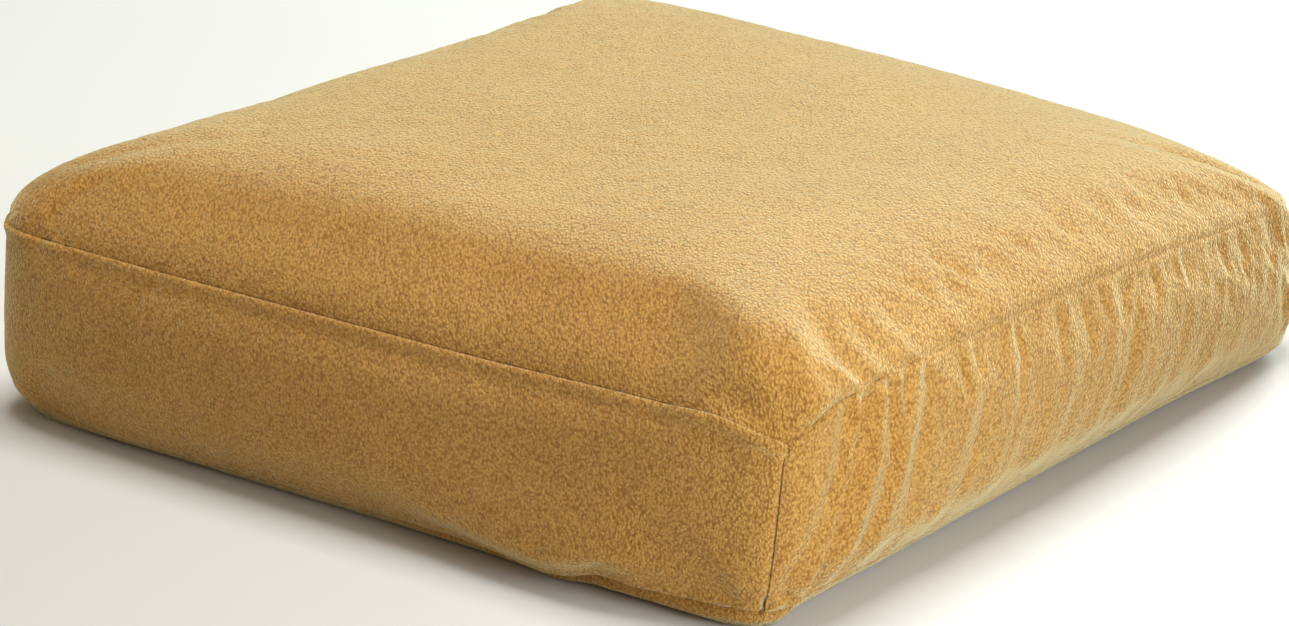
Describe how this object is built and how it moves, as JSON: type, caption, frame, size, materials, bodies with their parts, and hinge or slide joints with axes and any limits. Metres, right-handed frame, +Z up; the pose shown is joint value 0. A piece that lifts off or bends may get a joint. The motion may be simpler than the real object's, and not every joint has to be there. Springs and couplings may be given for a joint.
{
  "type": "boxed floor cushion",
  "caption": "Square boxed floor cushion: a zipped nubby cloth cover with upright boxing and corner seams over a cased, wadding-wrapped foam block.",
  "frame": {"origin": "on the floor under the middle of the cushion, at the centre of its square underside", "axes": "+Z up through the thickness; +X to the right of the front side; +Y towards the rear side, which holds the zip"},
  "size_m": [0.6, 0.605, 0.16],
  "materials": {
    "cover_cloth": "mustard ochre boucle weave, nubby, matt",
    "sewing_thread": "spun polyester thread, a shade darker than the cloth",
    "zip_tape": "woven polyester tape, twill, matt",
    "zip_coil": "nylon coil, satin",
    "zip_stop": "stamped metal, satin",
    "slider_metal": "die-cast zinc, enamelled in the cloth's colour, semi-gloss",
    "case_cloth": "plain polycotton lining cloth, unbleached",
    "wadding": "bonded polyester wadding, white, fluffy",
    "foam": "open-cell polyurethane foam, pale yellow"
  },
  "bodies": {
    "cushion": {"bottom_panel": "cover_cloth", "bottom_seam_thread": "sewing_thread", "corner_seam_threads": "sewing_thread", "foam_core": "foam", "front_boxing": "cover_cloth", "insert_case_band": "case_cloth", "insert_case_bottom": "case_cloth", "insert_case_top": "case_cloth", "left_boxing": "cover_cloth", "rear_boxing_lower": "cover_cloth", "rear_boxing_upper": "cover_cloth", "right_boxing": "cover_cloth", "top_panel": "cover_cloth", "top_seam_thread": "sewing_thread", "wadding_bottom": "wadding", "wadding_top": "wadding", "zipper_bottom_stop": "zip_stop", "zipper_coil_lower": "zip_coil", "zipper_coil_upper": "zip_coil", "zipper_stitching": "sewing_thread", "zipper_tape_lower": "zip_tape", "zipper_tape_upper": "zip_tape", "zipper_top_stops": "zip_stop"},
    "slider": {"zipper_slider": "slider_metal"},
    "pull_tab": {"zipper_pull_tab": "slider_metal"}
  },
  "joints": [
    {"name": "slider_slide", "type": "slide", "parent": "cushion", "child": "slider", "axis": [-1, 0, 0], "range_m": [0, 0.468], "deforming": ["zipper_coil_upper", "zipper_coil_lower"]},
    {"name": "pull_tab_hinge", "type": "hinge", "parent": "slider", "child": "pull_tab", "pos_m": [0.236, 0.3022, 0.063], "axis": [0, 0, -1], "range_deg": [0, 180]}
  ]
}
